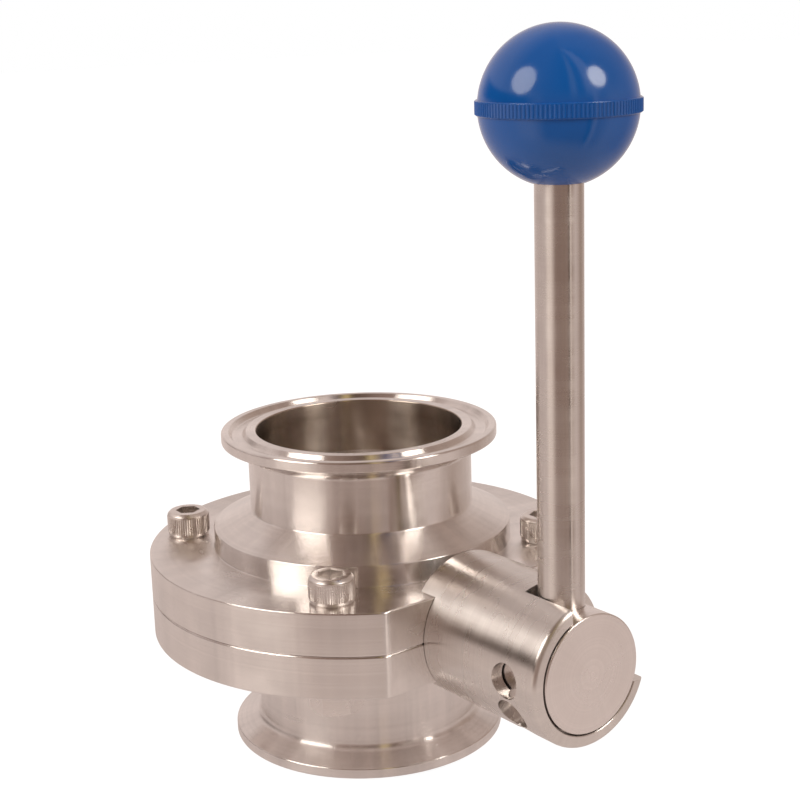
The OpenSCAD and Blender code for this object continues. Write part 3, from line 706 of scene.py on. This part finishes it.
# %% Clamp nuts
NUT_W, NUT_H, NUT_TURN = 10.0, 5.0, radians(-19)
nut = hexagon(NUT_W, 0, NUT_H, NUT_TURN)
nut.name = "clamp_nuts_hexagon"
corner = NUT_W / 2 / cos(pi / 6)
rise = (corner - NUT_W / 2) * tan(radians(30))
shell = turn_on_lathe("tool", [(0, 0), (NUT_W / 2 - 0.2, 0), (corner, rise + 0.1),
                               (corner, NUT_H - rise - 0.1), (NUT_W / 2 - 0.2, NUT_H), (0, NUT_H)], 96)
cut_with(nut, shell, operation="INTERSECT")
cut_with(nut, bar(SCREW_R, -1, NUT_H + 1, steps=64))
soften(nut, width_mm=0.12)
run_tree(nut, screw_tree, Circle_radius=SCREW_CIRCLE_R * MM, Height=(SPLIT_Z - FLANGE_T - NUT_H) * MM,
         Count=4, Ridge_count=0)
finish_piece(nut, bolt_steel, "valve_body", "fastener_steel", "clamp_nuts")

# %% [markdown]
# The knob is a ball with a grip band round its middle. The band is a row of fine upright ribs,
# as the mould leaves them, so it is a ring of small half-round bars on a plain turned band.

# %% Ball knob
RIB_COUNT, BAND_H, BAND_OUT = 120, 3.0, 0.5
foot_r = 5.6
foot_z = -sqrt(KNOB_R ** 2 - foot_r ** 2)
band_half = BAND_H / 2


def ball_arc(first, last, steps):
    angles = [first + (last - first) * k / steps for k in range(steps + 1)]
    return [(KNOB_R * cos(a), KNOB_R * sin(a)) for a in angles]


band_angle = asin(band_half / KNOB_R)
band = rounded([(KNOB_R * cos(band_angle), -band_half, 0), (KNOB_R + BAND_OUT - 0.16, -band_half, 0.25),
                (KNOB_R + BAND_OUT - 0.16, band_half, 0.25), (KNOB_R * cos(band_angle), band_half, 0)])[1:-1]
ball_outline = ([(0, foot_z + 1.2), (ROD_R + 0.1, foot_z + 1.2), (ROD_R + 0.1, foot_z + 0.2),
                 (ROD_R + 0.4, foot_z)]
                + ball_arc(asin(foot_z / KNOB_R), -band_angle, 40) + [tuple(p) for p in band]
                + ball_arc(band_angle, pi / 2 - 0.02, 48) + [(0, KNOB_R)])
knob = turn_on_lathe("ball_knob_pressed", ball_outline, 160)
tree, given = new_tree("ribs on a band", {
    "Rib count": ("NodeSocketInt", RIB_COUNT), "Band radius": ("NodeSocketFloat", 0.016),
    "Rib length": ("NodeSocketFloat", 0.003), "Rib radius": ("NodeSocketFloat", 0.0003)})
rib = node(tree, "GeometryNodeMeshCylinder", {
    "Vertices": 10, "Radius": given["Rib radius"], "Depth": given["Rib length"]}).outputs[0]
ribs = around_circle(tree, rib, given["Rib count"], given["Band radius"], 0.0, 0.0)
joined = node(tree, "GeometryNodeJoinGeometry")
tree.links.new(given["Geometry"], joined.inputs[0])
tree.links.new(ribs.outputs[0], joined.inputs[0])
lifted = node(tree, "GeometryNodeTransform", {
    "Geometry": joined.outputs[0], "Translation": (ROD_X * MM, 0, KNOB_Z * MM)})
end_tree(tree, lifted.outputs[0], knob_plastic)
soften(knob)
run_tree(knob, tree, Rib_count=RIB_COUNT, Band_radius=(KNOB_R + BAND_OUT - 0.38) * MM,
         Rib_length=(BAND_H - 0.5) * MM, Rib_radius=0.38 * MM)
finish_piece(knob, knob_plastic, "pull_rod", "knob_plastic", "ball_knob")

# %% [markdown]
# The disc and the seat are seen when the valve is looked into. The disc is crowned: thick in the
# middle, where the stem passes, and thin at a rounded rim. Its stem is turned in the same piece.
# The seat is a ring of silicone whose lip is level with the bore.

# %% Disc and stem
DISC_R, DISC_T, RIM_T, BOSS_X = 23.7, 9.6, 3.2, 22.0
crown_rise = (DISC_T - RIM_T) / 2
crown_span = DISC_R - RIM_T / 2
crown_r = (crown_span ** 2 + crown_rise ** 2) / (2 * crown_rise)
crown_across = [crown_span * k / 16 for k in range(16)]
crown = [(x, DISC_T / 2 - crown_r + sqrt(crown_r ** 2 - x ** 2)) for x in crown_across]
rim = [(crown_span + RIM_T / 2 * cos(radians(a)), RIM_T / 2 * sin(radians(a))) for a in range(78, -79, -12)]
disc = turn_on_lathe("disc_crowned", crown + rim + [(x, -y) for x, y in reversed(crown)], 160, ALONG_DISC)
SQUARE_W, SQUARE_X, STEM_END_X = 8.5, 49.2, 59.0
stem = turn_on_lathe("stem", rounded([
    (0, -42, 0), (STEM_R, -42, 0.6), (STEM_R, -36.45, 0), (4.6, -36.45, 0), (4.6, -34.55, 0),
    (STEM_R, -34.55, 0), (STEM_R, -BOSS_X, 0), (BUSH_R, -BOSS_X, 0.5), (BUSH_R, BOSS_X, 0.5),
    (STEM_R, BOSS_X, 0), (STEM_R, 34.55, 0), (4.6, 34.55, 0), (4.6, 36.45, 0), (STEM_R, 36.45, 0),
    (STEM_R, STEM_END_X, 0.5), (0, STEM_END_X, 0)]), 96, ALONG_STEM)
half_w = SQUARE_W / 2
flats = [block((SQUARE_X, -9, SPLIT_Z + half_w), (70, 9, SPLIT_Z + 9)),
         block((SQUARE_X, -9, SPLIT_Z - 9), (70, 9, SPLIT_Z - half_w)),
         block((SQUARE_X, half_w, SPLIT_Z - 9.1), (70, 9.1, SPLIT_Z + 9.1)),
         block((SQUARE_X, -9.1, SPLIT_Z - 9.1), (70, -half_w, SPLIT_Z + 9.1))]
cut_with(stem, *flats)
cut_with(disc, stem, operation="UNION")
soften(disc, width_mm=0.25)
finish_piece(disc, disc_steel, "handle_head", "disc_steel", "disc")

# %% Seat ring
seat = turn_on_lathe("seat_ring_moulded", [(x, y + SPLIT_Z) for x, y in rounded([
    (SEAT_BORE_R, -9.5, 0.5), (LIP_R, -9.5, 0.2), (LIP_R, -7, 0.2), (SEAT_R, -7, 0.3),
    (SEAT_R, 7, 0.3), (LIP_R, 7, 0.2), (LIP_R, 9.5, 0.2), (SEAT_BORE_R, 9.5, 0.5)])], 160)
cut_with(seat, bar(STEM_R + 0.05, -40, 40, ALONG_STEM))
soften(seat)
finish_piece(seat, silicone, "valve_body", "seat_silicone", "seat_ring")

# %% [markdown]
# The handle spring is a coil, so it follows a rule: a spiral line with a round section. A Screw
# modifier could make it too, but the tree takes the number of turns and the rise as named inputs.

# %% Handle spring
FOOT_Z, SHOULDER_Z, WIRE_R, COIL_R, TURNS = SPLIT_Z - 0.2, SPLIT_Z + 4.3, 0.35, 5.6, 4.4
tree, given = new_tree("coil spring", {
    "Coil radius": ("NodeSocketFloat", 0.005), "Wire radius": ("NodeSocketFloat", 0.0004),
    "Rise": ("NodeSocketFloat", 0.004), "Turns": ("NodeSocketFloat", 4.0)})
coil = node(tree, "GeometryNodeCurveSpiral", {
    "Resolution": 48, "Rotations": given["Turns"], "Start Radius": given["Coil radius"],
    "End Radius": given["Coil radius"], "Height": given["Rise"]}).outputs[0]
section = node(tree, "GeometryNodeCurvePrimitiveCircle", {"Resolution": 12,
                                                          "Radius": given["Wire radius"]}).outputs[0]
wire = node(tree, "GeometryNodeCurveToMesh", {"Curve": coil, "Profile Curve": section,
                                              "Fill Caps": True}).outputs[0]
lifted = node(tree, "GeometryNodeTransform", {
    "Geometry": wire, "Translation": (ROD_X * MM, 0, (FOOT_Z + WIRE_R + 0.06) * MM)}).outputs[0]
end_tree(tree, lifted, spring_wire)
spring = to_object("handle_spring_coiled", bpy.data.meshes.new("handle_spring_coiled"))
run_tree(spring, tree, Coil_radius=COIL_R * MM, Wire_radius=WIRE_R * MM,
         Rise=(SHOULDER_Z - FOOT_Z - 2 * WIRE_R - 0.12) * MM, Turns=TURNS)
finish_piece(spring, spring_wire, "handle_head", "spring_steel", "handle_spring")

# %% [markdown]
# The small inner parts keep their CAD shapes. They show only through a hole or a gap, but each
# still gets the finish that the real part has.

# %% Finishes of the carried-over CAD parts
CARRIED = {
    "drive_bush": ptfe, "end_bush": ptfe, "thrust_washer": ptfe, "stem_orings": rubber,
    "sleeve_screws": bolt_steel, "stem_pin": bolt_steel, "guide_plug": bolt_steel,
    "spring_seat": bolt_steel, "circlip": spring_wire, "knob_insert": brass}
for name, material in CARRIED.items():
    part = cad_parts[name]
    part.data.materials.clear()
    part.data.materials.append(material)
print("CAD parts with a new finish:", len(CARRIED))
